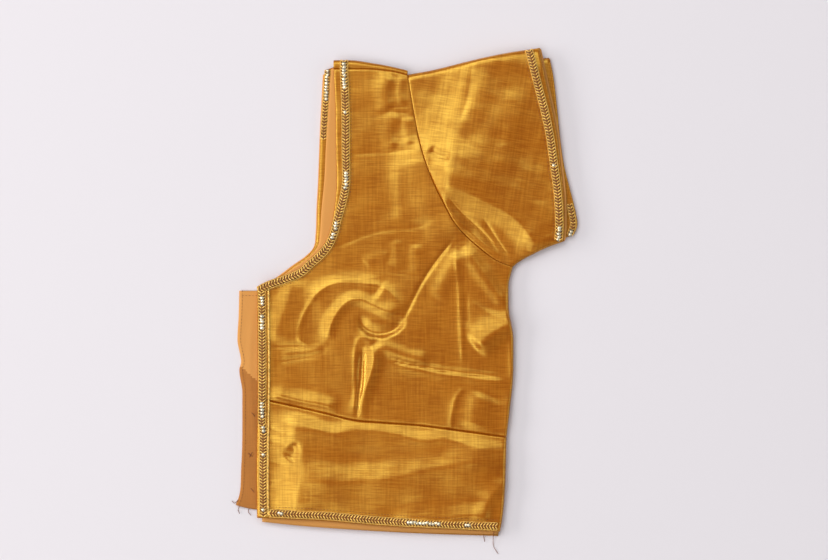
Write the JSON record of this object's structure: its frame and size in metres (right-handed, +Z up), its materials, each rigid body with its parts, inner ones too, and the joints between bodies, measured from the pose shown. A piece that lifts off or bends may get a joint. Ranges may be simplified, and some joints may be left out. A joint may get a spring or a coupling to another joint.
{
  "type": "folded choli blouse",
  "caption": "Short choli blouse in gold silk tissue with zari braid edges, folded in half at the back and laid flat, front up, on a surface.",
  "frame": {"origin": "on the surface, below the middle of the folded blouse's box", "axes": "+Z up out of the surface, +Y from the hem to the shoulder, +X from the front edge to the sleeve's mouth"},
  "size_m": [0.2805, 0.4003, 0.0122],
  "materials": {
    "gold_silk": "gold silk tissue with a metallic sheen and fine slubs",
    "cotton_lining": "matt orange-beige plain-weave cotton",
    "zari_braid": "gold zari braid in a chevron plait with small foil sequins"
  },
  "bodies": {
    "root": {"back_hem": "cotton_lining", "back_neck_braid": "zari_braid", "back_shoulder": "gold_silk", "far_sleeve": "gold_silk", "folded_layers": "cotton_lining", "front_bodice": "gold_silk", "front_edge_braid": "zari_braid", "front_piping": "zari_braid", "front_waistband": "gold_silk", "hem_braid": "zari_braid", "left_back_neck": "cotton_lining", "neck_braid": "zari_braid", "right_back_neck": "gold_silk", "sleeve": "gold_silk", "sleeve_braid": "zari_braid", "sleeve_underside": "gold_silk", "underlap": "cotton_lining"}
  },
  "joints": []
}
